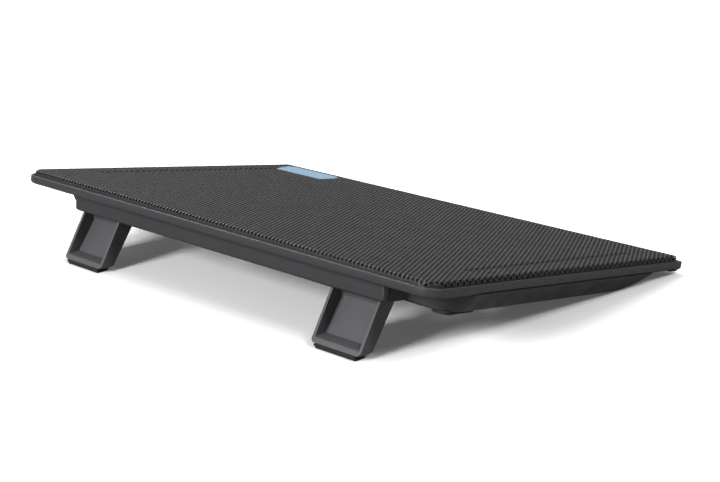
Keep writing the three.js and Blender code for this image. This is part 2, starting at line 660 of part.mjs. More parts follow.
// Down through the bay's ceiling, to and fro in three rows, then into the plug.
function cablePath() {
  const points = [];
  const add = (x, y, z = CABLE.z) => points.push(new THREE.Vector3(x, y, z));
  add(CABLE_START_X, CABLE.rows[0], BAY.ceiling + 2.4);
  add(CABLE_START_X, CABLE.rows[0], CABLE.z + 2.6);
  add(CABLE_START_X + 3, CABLE.rows[0]);
  CABLE.rows.forEach((y, row) => {
    const forward = row % 2 === 0 ? 1 : -1;
    const start = row === 0 ? -0.86 : -1;
    for (const s of [start, 0, 1]) add(forward * s * CABLE.halfRun, y);
    const next = CABLE.rows[row + 1];
    if (next !== undefined) add(forward * (CABLE.halfRun + CABLE.turn), (y + next) / 2);
  });
  add(CABLE.halfRun + CABLE.turn + 1, (CABLE.rows[2] + PLUG.y) / 2);
  add(CABLE.halfRun - 4, PLUG.y);
  add(PLUG.x0 + PLUG.length + 6, PLUG.y);
  add(PLUG.x0 + PLUG.length + GAP, PLUG.y);
  return new THREE.CatmullRomCurve3(points, false, "catmullrom", 0.4);
}

function usbCable() {
  const shape = new THREE.Shape();
  shape.absarc(0, 0, CABLE.radius, 0, 2 * Math.PI);
  return solid(new THREE.ExtrudeGeometry(shape, { steps: 58, curveSegments: 3, extrudePath: cablePath() }));
}

function cableGrommet() {
  const z0 = BAY.ceiling + BAY.plate + GAP;
  return tube(CABLE_START_X, CABLE.rows[0], CABLE.radius + 1.6, CABLE.radius + 0.35, z0, z0 + 1.3, 16);
}

function usbPlugBody() {
  const z = CABLE.z;
  const halfY = PLUG.width / 2;
  return box(PLUG.x0, PLUG.x0 + PLUG.length, PLUG.y - halfY, PLUG.y + halfY,
    z - PLUG.height / 2 + 0.2, z + PLUG.height / 2);
}

function usbPlugShell() {
  const z = CABLE.z;
  const x1 = PLUG.x0 - GAP;
  const halfY = PLUG.shellWidth / 2;
  const halfZ = PLUG.shellHeight / 2;
  const mouthY = halfY - PLUG.sheet;
  const tongueTop = z - halfZ + 2;
  return cut(
    box(x1 - PLUG.shell, x1, PLUG.y - halfY, PLUG.y + halfY, z - halfZ, z + halfZ),
    box(x1 - PLUG.shell - 1, x1 - 1, PLUG.y - mouthY, PLUG.y + mouthY, tongueTop, z + halfZ - PLUG.sheet));
}

// ---- feet and screws ----
function rearFoot(side) {
  const [x0, x1] = side > 0 ? [FOOT.x0, FOOT.x1] : [-FOOT.x1, -FOOT.x0];
  const outline = (inset) => roundedOutline(x0 + inset, x1 - inset, FOOT.y0 + inset, FOOT.y1 - inset,
    FOOT.radius - inset, FOOT.radius - inset, 4);
  return loft([
    { z: FOOT.bottom, points: outline(0.5) }, { z: FOOT.bottom + 0.5, points: outline(0) },
    { z: SHELL.bottom + FOOT.recess - GAP, points: outline(0) }]);
}

// Height of the ground in the pad frame, under a point at this Y, when the legs stand.
function groundUnder(y) {
  const [u, w] = [SOLE.rearReach, SOLE.rearDepth];
  const [c, s] = [Math.cos(-LEG.swing), Math.sin(-LEG.swing)];
  const soleY = LEG.pivotY + u * c - w * s;
  const soleZ = LEG.pivotZ + u * s + w * c;
  return soleZ + (y - soleY) * Math.tan(TILT);
}

// A bar between two heights above the standing ground, under the belly's front bend.
function frontBar(side, reach, low, high) {
  const { x, halfX } = FRONT_FOOT;
  const y0 = FRONT_FOOT.y0 - reach;
  const y1 = FRONT_FOOT.y1 + reach;
  const profile = [
    [y0, groundUnder(y0) + low], [y1, groundUnder(y1) + low],
    [y1, groundUnder(y1) + high], [y0, groundUnder(y0) + high],
  ];
  return crossPrism(profile, side * x - halfX - reach, side * x + halfX + reach);
}

const frontFoot = (side) => frontBar(side, 0, 0, FRONT_FOOT.height);
const frontRecess = (side) => frontBar(side, GAP, -2, FRONT_FOOT.height + GAP);

function caseScrew() {
  return join(
    cylinder(0, 0, SCREW.head, SCREW.seat - GAP - SCREW.headHeight, SCREW.seat - GAP, 16),
    cylinder(0, 0, SCREW.shank, SCREW.seat - GAP - 0.5, SCREW.top, 12));
}

// ---- assembly ----
const pad = new THREE.Group();

function place(name, body, material, parent = pad) {
  const mesh = new THREE.Mesh(body.isBufferGeometry ? body : toGeometry(body), material);
  mesh.name = name;
  parent.add(mesh);
}

place("mesh_deck", meshDeck(), finish(0x1c1b1d, 0.5, 0.6));
place("badge_plate", badgePlate(), finish(0x4f93cf, 0.35));
place("upper_frame", upperFrame(), PLASTIC());
place("lower_shell", lowerShell(), finish(0x29272b, 0.65));

function placeLeg(side, label) {
  const hinge = new THREE.Group();
  hinge.position.set(side * LEG.x, LEG.pivotY, LEG.pivotZ);
  hinge.rotation.x = -LEG.swing;
  place(`leg_${label}`, leg(), PLASTIC(), hinge);
  place(`leg_sole_${label}`, sole(), RUBBER(), hinge);
  place(`leg_hinge_pin_${label}`, hingePin(), STEEL(), hinge);
  pad.add(hinge);
}

function placeFan(side, label) {
  const fan = new THREE.Group();
  fan.position.set(side * FAN.x, FAN.y, 0);
  place(`fan_frame_${label}`, fanFrame(), finish(0x1a1a1c, 0.55), fan);
  place(`fan_bearing_${label}`, fanBearing(), finish(0xa98b5a, 0.4, 0.8), fan);
  place(`fan_stator_${label}`, fanStator(), finish(0x8a4f2c, 0.5, 0.5), fan);
  place(`fan_shaft_${label}`, fanShaft(), STEEL(), fan);
  place(`fan_magnet_${label}`, fanMagnet(), finish(0x3c3c40, 0.7, 0.3), fan);
  place(`fan_rotor_${label}`, fanRotor(), finish(0x202022, 0.5), fan);
  pad.add(fan);
}

for (const [side, label] of [[-1, "left"], [1, "right"]]) {
  placeLeg(side, label);
  placeFan(side, label);
  place(`rear_foot_${label}`, rearFoot(side), RUBBER());
  place(`front_foot_${label}`, frontFoot(side), RUBBER());
}

place("control_board", controlBoard(), finish(0x1f5b34, 0.6));
place("usb_socket_rear", usbSocket(SOCKET.y[0]), STEEL());
place("usb_socket_front", usbSocket(SOCKET.y[1]), STEEL());
place("switch_body", switchBody(), STEEL());
place("switch_slider", switchSlider(), finish(0x141416, 0.6));
place("usb_cable", usbCable(), finish(0x161618, 0.75));
place("cable_grommet", cableGrommet(), RUBBER());
place("usb_plug_body", usbPlugBody(), finish(0x161618, 0.7));
place("usb_plug_shell", usbPlugShell(), STEEL());

SCREW_SPOTS.forEach(([x, y], i) => {
  const spot = new THREE.Group();
  spot.position.set(x, y, 0);
  place(`case_screw_${i + 1}`, caseScrew(), finish(0x77797d, 0.4, 0.9), spot);
  pad.add(spot);
});

// Tilt the pad onto its legs: soles and front feet on z = 0, and the box centred on Y.
pad.rotation.x = -TILT;
pad.position.z = -groundUnder(0) * Math.cos(TILT);
const coolingPad = new THREE.Group();
coolingPad.add(pad);
coolingPad.updateMatrixWorld(true);
const bounds = new THREE.Box3().setFromObject(coolingPad, true);
pad.position.y = -(bounds.min.y + bounds.max.y) / 2;

export default coolingPad;
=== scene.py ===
"""Looks of the laptop cooling pad in a pale studio: a perforated steel deck, smoothed copies of the
mouldings, screws with recesses and ridges, and a finish for every part.

Pad coordinates are millimetres: the deck's top face is z = 0, its centre the origin, x along the
long edge and y from the raised rear edge to the front. row() turns them into the frame's metres.
"""
import json
import math

import bmesh
import bpy
import numpy as np
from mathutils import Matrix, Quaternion, Vector
from mathutils.geometry import tessellate_polygon

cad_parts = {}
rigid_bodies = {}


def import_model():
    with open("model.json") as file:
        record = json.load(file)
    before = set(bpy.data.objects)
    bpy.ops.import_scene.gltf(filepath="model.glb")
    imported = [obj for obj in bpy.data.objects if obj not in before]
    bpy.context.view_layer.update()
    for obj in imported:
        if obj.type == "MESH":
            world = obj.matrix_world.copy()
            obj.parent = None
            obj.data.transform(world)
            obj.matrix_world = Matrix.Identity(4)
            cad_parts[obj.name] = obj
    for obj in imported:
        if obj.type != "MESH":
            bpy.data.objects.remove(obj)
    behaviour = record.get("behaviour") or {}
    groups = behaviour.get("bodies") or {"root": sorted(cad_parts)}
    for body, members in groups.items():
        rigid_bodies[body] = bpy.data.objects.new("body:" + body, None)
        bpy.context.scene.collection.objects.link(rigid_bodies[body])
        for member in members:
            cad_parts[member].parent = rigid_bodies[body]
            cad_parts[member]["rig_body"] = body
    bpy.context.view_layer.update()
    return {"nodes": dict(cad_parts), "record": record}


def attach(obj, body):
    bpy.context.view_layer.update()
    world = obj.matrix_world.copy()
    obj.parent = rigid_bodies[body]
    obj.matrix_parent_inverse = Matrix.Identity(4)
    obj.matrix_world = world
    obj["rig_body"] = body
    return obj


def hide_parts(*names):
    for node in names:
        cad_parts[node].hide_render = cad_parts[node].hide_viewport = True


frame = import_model()

MM = 0.001
TINY = 1e-9  # stands in for a zero length that something is divided by

DECK_TOP = next(m for m in frame["record"]["mounts"] if m["name"] == "deck_top")
ORIGIN = np.array(DECK_TOP["pos_m"])
NORMAL = np.array(DECK_TOP["axis"]) / np.linalg.norm(DECK_TOP["axis"])
ACROSS = np.array([1.0, 0.0, 0.0])
FORWARD = np.cross(NORMAL, ACROSS)
COLORS = {m["slot"]: m["base_color"] for m in frame["record"]["materials"]}
SLOTS = {part["node"]: part["material_slot"] for part in frame["record"]["subparts"]}


def row(points):
    """Pad millimetres to the frame's metres."""
    p = np.asarray(points, float) * MM
    return ORIGIN + p[..., :1] * ACROSS + p[..., 1:2] * FORWARD + p[..., 2:3] * NORMAL


def pad(points):
    """The frame's metres to pad millimetres."""
    d = np.asarray(points, float) - ORIGIN
    return np.stack([d @ ACROSS, d @ FORWARD, d @ NORMAL], -1) / MM


def node_points(node):
    """A CAD node's vertices in pad millimetres."""
    return pad([v.co for v in frame["nodes"][node].data.vertices])


# ---- finishes ----
MIX_SHARE, MIX_A, MIX_B, MIX_RESULT = 0, 6, 7, 2  # a mix node's colour sockets share their names
NOISE_LOW, NOISE_HIGH = 0.3, 0.7  # most of a noise pattern lies between these
ON_FLAT, ON_EDGE = 0.99, 0.8  # cosines between the true normal and the rounded one
WAVE_SCALE = math.pi / 10  # a wave texture's scale for waves one metre long
RUBBED = 2.6  # tone of a rubbed edge on plastic and rubber
PAINTED_HOLE_SHADE = "painted_hole_shade"  # deck face attribute: 0 on the outer sheet, 1 elsewhere, in painted shade


class Finish:
    """A node material under construction.

    Its patterns sit on the piece. Sizes, depths and radii are millimetres, and a tone is a
    multiple of the slot's colour.
    """

    def __init__(self, slot):
        self.material = bpy.data.materials.new(slot)
        self.material.use_nodes = True
        self.tree = self.material.node_tree
        self.shader = self.tree.nodes["Principled BSDF"]
        self.place = self.add("ShaderNodeTexCoord").outputs["Object"]
        self.color = (*COLORS[slot], 1.0)
        self.normal = None

    def add(self, kind, **settings):
        node = self.tree.nodes.new(kind)
        for key, value in settings.items():
            setattr(node, key, value)
        return node

    def feed(self, socket, value):
        """Gives a socket another node's output, or a plain value."""
        if isinstance(value, bpy.types.NodeSocket):
            self.tree.links.new(value, socket)
        else:
            socket.default_value = value

    def put(self, name, value):
        self.feed(self.shader.inputs[name], value)

    def stretched(self, x, y, z):
        """Coordinates with each axis scaled, so that a pattern runs along the axes scaled down."""
        node = self.add("ShaderNodeMapping")
        self.feed(node.inputs["Vector"], self.place)
        node.inputs["Scale"].default_value = (x, y, z)
        return node.outputs["Vector"]

    def noise(self, size, detail=3.0, place=None):
        node = self.add("ShaderNodeTexNoise")
        self.feed(node.inputs["Vector"], place or self.place)
        node.inputs["Scale"].default_value = 1 / (size * MM)
        node.inputs["Detail"].default_value = detail
        return node.outputs["Fac"]

    def cells(self, size):
        node = self.add("ShaderNodeTexVoronoi", feature="SMOOTH_F1")
        self.feed(node.inputs["Vector"], self.place)
        node.inputs["Scale"].default_value = 1 / (size * MM)
        return node.outputs["Distance"]

    def waves(self, size, axis, distortion):
        node = self.add("ShaderNodeTexWave", bands_direction=axis)
        self.feed(node.inputs["Vector"], self.place)
        node.inputs["Scale"].default_value = WAVE_SCALE / (size * MM)
        node.inputs["Distortion"].default_value = distortion
        return node.outputs["Fac"]

    def spread(self, value, low, high, to_low, to_high):
        """Turns low to high into to_low to to_high, and holds at both ends."""
        node = self.add("ShaderNodeMapRange")
        self.feed(node.inputs["Value"], value)
        self.feed(node.inputs["From Min"], low)
        self.feed(node.inputs["From Max"], high)
        self.feed(node.inputs["To Min"], to_low)
        self.feed(node.inputs["To Max"], to_high)
        return node.outputs["Result"]

    def patchy(self, size, low, high):
        """A value that drifts between low and high, in patches of a size."""
        return self.spread(self.noise(size), NOISE_LOW, NOISE_HIGH, low, high)

    def times(self, a, b):
        node = self.add("ShaderNodeMath", operation="MULTIPLY")
        self.feed(node.inputs[0], a)
        self.feed(node.inputs[1], b)
        return node.outputs[0]

    def blend(self, share, a, b):
        """Colour a where share is 0, and colour b where it is 1."""
        node = self.add("ShaderNodeMix", data_type="RGBA")
        self.feed(node.inputs[MIX_SHARE], share)
        self.feed(node.inputs[MIX_A], a)
        self.feed(node.inputs[MIX_B], b)
        return node.outputs[MIX_RESULT]

    def tone(self, factor):
        r, g, b, _ = self.color
        return (r * factor, g * factor, b * factor, 1.0)

    def bump(self, height, depth):
        node = self.add("ShaderNodeBump")
        self.feed(node.inputs["Height"], height)
        node.inputs["Distance"].default_value = depth * MM
        if self.normal:
            self.feed(node.inputs["Normal"], self.normal)
        self.normal = node.outputs["Normal"]

    def edges(self, radius):
        """Rounds the shading of edges, and returns how close to an edge a point is, from 0 to 1."""
        bevel = self.add("ShaderNodeBevel", samples=4)
        bevel.inputs["Radius"].default_value = radius * MM
        across = self.add("ShaderNodeVectorMath", operation="DOT_PRODUCT")
        self.feed(across.inputs[0], bevel.outputs["Normal"])
        self.feed(across.inputs[1], self.add("ShaderNodeNewGeometry").outputs["Normal"])
        self.normal = bevel.outputs["Normal"]
        return self.spread(across.outputs["Value"], ON_FLAT, ON_EDGE, 0.0, 1.0)

    def done(self, color, roughness, metallic=0.0):
        self.put("Base Color", color)
        self.put("Roughness", roughness)
        self.put("Metallic", metallic)
        if self.normal:
            self.put("Normal", self.normal)
        return self.material


def moulded(slot, roughness, grain, depth, edge, wear, shade=1.0):
    """Moulded plastic: spark-eroded grain, faint mottling, and edges rubbed paler in patches."""
    f = Finish(slot)
    f.color = f.tone(shade)
    patches = f.spread(f.noise(size=6.0), 0.35, 0.65, 0.35, 1.0)
    near_edge = f.times(f.edges(edge), patches)
    f.bump(f.cells(grain), depth)
    f.bump(f.noise(size=grain * 0.4, detail=2.0), depth * 0.5)
    f.put("Specular IOR Level", 0.35)
    mottled = f.blend(f.noise(size=24.0), f.tone(0.9), f.tone(1.1))
    speckled = f.blend(f.patchy(grain, low=0.0, high=0.5), mottled, f.tone(0.86))
    worn = f.blend(f.times(near_edge, wear), speckled, f.tone(RUBBED))
    return f.done(worn, f.patchy(9.0, low=roughness - 0.07, high=roughness + 0.07))


def deck_steel():
    """Black powder coat: orange peel, cloudy tone, painted highlight on hole edges, painted shade
    in the holes.
    """
    f = Finish("deck_steel")
    near_edge = f.edges(radius=0.18)
    f.bump(f.noise(size=0.5, detail=2.0), depth=0.025)
    f.bump(f.noise(size=2.2, detail=1.0), depth=0.03)
    cloud = f.blend(f.noise(size=40.0, detail=4.0), f.tone(0.8), f.tone(1.2))
    # A painted highlight: the hole edges get eleven times the colour.
    dust_and_highlight = f.blend(f.times(near_edge, 0.5), cloud, f.tone(11.0))
    # Painted shade on the hole walls and underside: a third of the colour and little reflection.
    painted_hole_shade = f.add("ShaderNodeAttribute", attribute_name=PAINTED_HOLE_SHADE).outputs["Fac"]
    f.put("Specular IOR Level", f.spread(painted_hole_shade, 0.0, 1.0, 0.4, 0.05))
    color = f.blend(painted_hole_shade, dust_and_highlight, f.tone(0.3))
    return f.done(color, f.patchy(14.0, low=0.4, high=0.5))


def badge_blue():
    """Satin blue plate: a slow change of tone, very fine brushed lines and a navy edge."""
    f = Finish("badge_blue")
    near_edge = f.edges(radius=1.0)
    f.bump(f.noise(size=0.25, detail=2.0, place=f.stretched(0.04, 1.0, 1.0)), depth=0.008)
    sheen = f.blend(f.noise(size=30.0, detail=1.0), f.tone(0.52), f.tone(0.66))
    navy = (0.02, 0.06, 0.14, 1.0)
    f.put("Specular IOR Level", 0.1)
    return f.done(f.blend(near_edge, sheen, navy), f.patchy(5.0, low=0.36, high=0.46))


def rubber(slot, roughness):
    """Matt rubber: a speckle of dust, soft pitted grain and rubbed corners."""
    f = Finish(slot)
    near_edge = f.edges(radius=0.4)
    f.bump(f.cells(size=0.35), depth=0.03)
    f.bump(f.noise(size=1.4), depth=0.04)
    dust = f.spread(f.noise(size=0.8, detail=5.0), 0.5, 0.75, 0.0, 0.6)
    dust_and_highlight = f.blend(dust, f.tone(0.9), f.tone(2.2))
    worn = f.blend(f.times(near_edge, 0.3), dust_and_highlight, f.tone(RUBBED))
    return f.done(worn, f.patchy(3.0, low=roughness - 0.08, high=roughness + 0.06))


def drawn_metal(slot, roughness):
    """Plated or drawn metal: fine lines, handling smears and brightened edges."""
    f = Finish(slot)
    near_edge = f.edges(radius=0.12)
    f.bump(f.noise(size=0.12, place=f.stretched(0.05, 1.0, 1.0)), depth=0.006)
    smear = f.blend(f.noise(size=3.0, detail=4.0), f.tone(0.82), f.tone(1.08))
    bright = f.blend(f.times(near_edge, 0.5), smear, f.tone(1.3))
    rough = f.patchy(1.5, low=roughness - 0.08, high=roughness + 0.1)
    return f.done(bright, rough, metallic=1.0)


def winding_copper():
    """Enamelled copper turns, broken by patches of dark steel laminations."""
    f = Finish("winding_copper")
    turns = f.waves(size=0.45, axis="Z", distortion=0.4)
    f.bump(turns, depth=0.08)
    wire = f.blend(turns, f.tone(0.5), f.tone(1.25))
    steel = (0.16, 0.16, 0.17, 1.0)
    patches = f.spread(f.noise(size=5.0, detail=0.0), 0.46, 0.54, 0.0, 1.0)
    rough = f.patchy(1.0, low=0.3, high=0.5)
    return f.done(f.blend(patches, wire, steel), rough, metallic=0.85)


def board_green():
    """Solder mask over copper tracks, which show as paler, slightly raised lines."""
    f = Finish("board_green")
    tracks = f.spread(f.waves(size=1.3, axis="Y", distortion=1.5), 0.7, 0.8, 0.0, 1.0)
    f.bump(tracks, depth=0.03)
    cloudy = f.blend(f.noise(size=6.0), f.tone(0.85), f.tone(1.1))
    f.put("Coat Weight", 0.4)
    return f.done(f.blend(tracks, cloudy, f.tone(1.7)), f.patchy(2.0, low=0.35, high=0.5))


def sintered(slot, roughness, metallic):
    """Pressed and fired powder, such as a bronze bush or a ferrite ring: pores and cloudy tone."""
    f = Finish(slot)
    f.edges(radius=0.15)
    pores = f.noise(size=0.3, detail=5.0)
    f.bump(pores, depth=0.03)
    tone = f.blend(f.spread(pores, 0.35, 0.6, 0.0, 1.0), f.tone(0.6), f.tone(1.1))
    rough = f.spread(pores, NOISE_LOW, NOISE_HIGH, roughness + 0.1, roughness - 0.1)
    return f.done(tone, rough, metallic)


MOULDED = {
    "rim_plastic": {"roughness": 0.5, "grain": 0.45, "depth": 0.02, "edge": 0.5, "wear": 0.3,
                    "shade": 0.72},
    "shell_plastic": {"roughness": 0.52, "grain": 0.6, "depth": 0.03, "edge": 0.5, "wear": 0.28,
                      "shade": 0.8},
    # The legs' shade of 1.35, against 0.72 for the rim and 0.8 for the shell, is painted light: the
    # legs' black plastic is made lighter for the light their recesses catch.
    "leg_plastic": {"roughness": 0.42, "grain": 0.4, "depth": 0.012, "edge": 0.45, "wear": 0.34,
                    "shade": 1.35},
    "fan_plastic": {"roughness": 0.4, "grain": 0.4, "depth": 0.01, "edge": 0.3, "wear": 0.2},
    "switch_plastic": {"roughness": 0.5, "grain": 0.3, "depth": 0.02, "edge": 0.2, "wear": 0.3},
}
FINISHES = {
    "deck_steel": deck_steel(),
    "badge_blue": badge_blue(),
    **{slot: moulded(slot, **look) for slot, look in MOULDED.items()},
    "rubber": rubber("rubber", 0.85),
    "cable_jacket": rubber("cable_jacket", 0.6),
    "bright_steel": drawn_metal("bright_steel", 0.28),
    "screw_steel": drawn_metal("screw_steel", 0.35),
    "bearing_bronze": sintered("bearing_bronze", 0.45, 0.9),
    "winding_copper": winding_copper(),
    "magnet_ferrite": sintered("magnet_ferrite", 0.6, 0.2),
    "board_green": board_green(),
}


def dress(piece, slot):
    piece.data.materials.clear()
    piece.data.materials.append(FINISHES[slot])


# ---- pieces ----
SHARP_DEGREES = 32  # a sharper turn between faces stays a visible edge
FLAT_DEGREES = 0.8  # faces that turn less are one flat face
ROUNDED_DEGREES = 35  # a sharper edge is rounded, where there is room
ROOM = 2.3  # room for rounding, in rounding widths along each edge that meets it
ROUNDING_STEPS = 3
SAME_POINT = 0.002 * MM  # closer points are merged


def add_piece(name, mesh, node):
    """Puts a new mesh in a CAD node's place, on the same body and in the same slot."""
    piece = bpy.data.objects.new(name, mesh)
    bpy.context.scene.collection.objects.link(piece)
    dress(piece, SLOTS[node])
    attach(piece, frame["nodes"][node]["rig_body"])
    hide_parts(node)
    return piece


def smooth_shading(mesh, sharp_degrees=SHARP_DEGREES):
    mesh.shade_smooth()
    mesh.set_sharp_from_angle(angle=math.radians(sharp_degrees))


def roomy(edge, width):
    """True if a sharp edge and its neighbours at both ends are long enough to round by width."""
    if len(edge.link_faces) != 2 or edge.calc_face_angle(0.0) < math.radians(ROUNDED_DEGREES):
        return False
    return all(near.calc_length() > ROOM * width for end in edge.verts for near in end.link_edges)


def soften(bm, width):
    """Merges flats into whole faces and rounds the sharp edges that have room for it."""
    flat = math.radians(FLAT_DEGREES)
    bmesh.ops.dissolve_limit(bm, angle_limit=flat, verts=bm.verts, edges=bm.edges)
    sharp = [e for e in bm.edges if roomy(e, width)]
    bmesh.ops.bevel(bm, geom=sharp, offset=width, offset_type="OFFSET", segments=ROUNDING_STEPS,
                    profile=0.5, affect="EDGES", clamp_overlap=False)


def softened(node, name, width=0.0):
    """A copy of a CAD node with even shading and, given a width, rounded edges."""
    bm = bmesh.new()
    bm.from_mesh(frame["nodes"][node].data)
    bmesh.ops.remove_doubles(bm, verts=bm.verts, dist=SAME_POINT)
    if width > 0:
        soften(bm, width * MM)
    mesh = bpy.data.meshes.new(name)
    bm.to_mesh(mesh)
    bm.free()
    smooth_shading(mesh)
    piece = add_piece(name, mesh, node)
    piece.modifiers.new("even_normals", "WEIGHTED_NORMAL").keep_sharp = True


# ---- perforated deck ----
# Staggered round holes in a sheet whose edge is bent down all round, in millimetres.
PITCH = 3.0
HOLE_RADIUS = 1.12
HOLE_SIDES = 12
HOLE_MARGIN = 0.12  # least metal between a hole and the sheet's end
CELL_OVERHANG = 0.4  # how far past the sheet's end a cell's centre may lie, in pitches
SHEET = 0.6
BEND_RADIUS = 1.4
REAR_CORNER = 11.0
FRONT_CORNER = 2.4
CREASE = {"x": 160.0, "y0": -76.5, "y1": 94.0, "half_width": 2.6, "depth": 0.9, "end": 5.0}
BADGE_TOP = -0.05  # the badge's top face is all that lies above this height
BADGE_GAP = 0.35
CORNERS_PER_MM = 50  # cell corners in the same 1/50 mm square are one corner
DECK_SHARP_DEGREES = 35


def deck_size():
    """Half the CAD deck's length, half its width, and its height."""
    points = node_points("mesh_deck")
    return points[:, 0].max(), points[:, 1].max(), -points[:, 2].min()


def edge_distance(points, half_x, half_y):
    """Signed distance of flat points to the line where the bend starts, and the way out of it."""
    radius = np.where(points[:, 1] < 0, REAR_CORNER, FRONT_CORNER) - BEND_RADIUS
    corner = np.array([half_x, half_y]) - BEND_RADIUS - radius[:, None]
    q = np.abs(points) - corner
    outside = np.maximum(q, 0)
    length = np.linalg.norm(outside, axis=1)
    distance = length + np.minimum(q.max(1), 0) - radius
    along_x = (q[:, 0] > q[:, 1])[:, None]
    straight = np.where(along_x, [1.0, 0.0], [0.0, 1.0])
    rounded = outside / np.maximum(length, TINY)[:, None]
    in_corner = ((q > 0).all(1))[:, None]
    return distance, np.where(in_corner, rounded, straight) * np.sign(points)


def crease_depth(points):
    """Depth of the two pressed lines near the short edges at flat points."""
    sideways = np.abs(np.abs(points[:, 0]) - CREASE["x"])
    across = np.clip(1 - sideways / CREASE["half_width"], 0, 1)
    ends = np.minimum(points[:, 1] - CREASE["y0"], CREASE["y1"] - points[:, 1]) / CREASE["end"]
    profile = across * across * (3 - 2 * across)
    return CREASE["depth"] * profile * np.clip(ends, 0, 1)


def bend(points, half_x, half_y, depth):
    """Wraps flat points over the deck's edge, depth below the outer surface."""
    distance, outward = edge_distance(points, half_x, half_y)
    past = np.maximum(distance, 0)
    angle = np.minimum(past / BEND_RADIUS, math.pi / 2)
    drop = np.maximum(past - BEND_RADIUS * math.pi / 2, 0)
    radius = BEND_RADIUS - depth
    foot = points - outward * past[:, None]
    plan = foot + outward * (radius * np.sin(angle))[:, None]
    height = radius * np.cos(angle) - BEND_RADIUS - drop - crease_depth(points)
    return np.column_stack([plan, height])


def ring(centers, radius, count):
    """Evenly spaced points round each centre, all rings in one list."""
    angles = math.pi / 6 + np.arange(count) * 2 * math.pi / count
    around = np.stack([np.cos(angles), np.sin(angles)], -1) * radius
    return (centers[:, None, :] + around[None, :, :]).reshape(-1, 2)


def lattice(half_x, half_y):
    """Centres of the staggered holes, centred on the deck."""
    step = PITCH * math.sqrt(3) / 2
    count_x, count_y = int(half_x / PITCH) + 2, int(half_y / step) + 2
    i, j = np.meshgrid(np.arange(-count_x, count_x + 1), np.arange(-count_y, count_y + 1))
    return np.stack([(i + 0.5 * (j % 2)).ravel() * PITCH, j.ravel() * step], -1)


def outline_distance(points, outline):
    """Signed distance of points to a closed outline, negative inside, and its nearest points."""
    best = np.full(len(points), np.inf)
    nearest = np.zeros_like(points)
    inside = np.zeros(len(points), bool)
    for a, b in zip(outline, np.roll(outline, -1, 0)):
        along = b - a
        share = np.clip(((points - a) @ along) / (along @ along), 0, 1)
        foot = a + share[:, None] * along
        gap = np.linalg.norm(points - foot, axis=1)
        closer = gap < best
        best = np.where(closer, gap, best)
        nearest[closer] = foot[closer]
        crosses = (a[1] > points[:, 1]) != (b[1] > points[:, 1])
        reach = a[0] + (points[:, 1] - a[1]) / (along[1] or TINY) * along[0]
        inside ^= crosses & (points[:, 0] < reach)
    return np.where(inside, -best, best), nearest


def badge_opening():
    """The outline of the badge's opening: its top face's corners in order, moved out by the gap."""
    points = node_points("badge_plate")
    top = np.unique(points[points[:, 2] > BADGE_TOP][:, :2].round(3), axis=0)
    middle = top.mean(0)
    order = np.argsort(np.arctan2(*(top - middle).T[::-1]))
    corners = top[order]
    out = corners - middle
    return corners + out / np.linalg.norm(out, axis=1)[:, None] * BADGE_GAP


def cells(half_x, half_y, flange, limit, opening):
    """Centres of the cells that lie on the sheet, and which of them have room for a hole."""
    centers = lattice(half_x + flange, half_y + flange)
    edge, _ = edge_distance(centers, half_x, half_y)
    label, _ = outline_distance(centers, opening)
    overhang = PITCH * CELL_OVERHANG
    kept = (edge < limit + overhang) & (label > -overhang)
    centers, edge, label = centers[kept], edge[kept], label[kept]
    margin = HOLE_RADIUS + HOLE_MARGIN
    return centers, (edge < limit - margin) & (label > margin)


def cell_corners(centers):
    """The corners of all hexagonal cells, each shared one once, and each cell's six indices."""
    corners = ring(centers, PITCH / math.sqrt(3), 6)
    grid = (corners * CORNERS_PER_MM).round().astype(int)
    _, first, index = np.unique(grid, axis=0, return_index=True, return_inverse=True)
    return corners[first], index.reshape(-1, 6)


def trimmed(corners, half_x, half_y, limit, opening):
    """Cell corners moved out of the badge's opening and back to the sheet's end."""
    distance, nearest = outline_distance(corners, opening)
    corners = np.where((distance < 0)[:, None], nearest, corners)
    distance, outward = edge_distance(corners, half_x, half_y)
    return corners - outward * np.maximum(distance - limit, 0)[:, None]


def cell_faces():
    """Faces of one cell between its six corners (0-5) and its hole's ring (6 and up)."""
    faces = []
    for k in range(6):
        following = (k + 1) % 6
        low, middle, high = 6 + 2 * k, 7 + 2 * k, 6 + (2 * k + 2) % HOLE_SIDES
        faces += [(k, following, middle), (following, high, middle), (k, middle, low)]
    return faces


def sheet_faces(corner_index, holed, first_ring):
    """Faces of the outer surface: a pattern round each hole, a whole hexagon where none is."""
    pattern = cell_faces()
    faces = []
    ring_start = first_ring
    for corner, has_hole in zip(corner_index.tolist(), holed.tolist()):
        if has_hole:
            cell = corner + list(range(ring_start, ring_start + HOLE_SIDES))
            faces += [tuple(cell[v] for v in face) for face in pattern]
            ring_start += HOLE_SIDES
        else:
            faces.append(tuple(corner))
    return faces


def hole_walls(holes, first_ring, total):
    """Faces between each hole's ring on the outer surface and the same ring underneath."""
    walls = []
    for hole in range(holes):
        base = first_ring + hole * HOLE_SIDES
        for side in range(HOLE_SIDES):
            a, b = base + side, base + (side + 1) % HOLE_SIDES
            walls.append((a, b, b + total, a + total))
    return walls


def deck_mesh():
    """Points and faces of the sheet, and each face's share of the painted shade in the holes."""
    half_x, half_y, flange = deck_size()
    limit = BEND_RADIUS * (math.pi / 2 - 1) + flange
    opening = badge_opening()
    centers, holed = cells(half_x, half_y, flange, limit, opening)
    corners, corner_index = cell_corners(centers)
    corners = trimmed(corners, half_x, half_y, limit, opening)
    flat = np.concatenate([corners, ring(centers[holed], HOLE_RADIUS, HOLE_SIDES)])
    total = len(flat)
    top = sheet_faces(corner_index, holed, len(corners))
    below = [tuple(v + total for v in reversed(face)) for face in top]
    walls = hole_walls(int(holed.sum()), len(corners), total)
    # Painted shade on the underside and the hole walls, none on the outer surface.
    dark = np.ones(len(top) + len(below) + len(walls), np.float32)
    dark[:len(top)] = 0.0
    points = [bend(flat, half_x, half_y, depth) for depth in (0.0, SHEET)]
    return np.concatenate(points), top + below + walls, dark


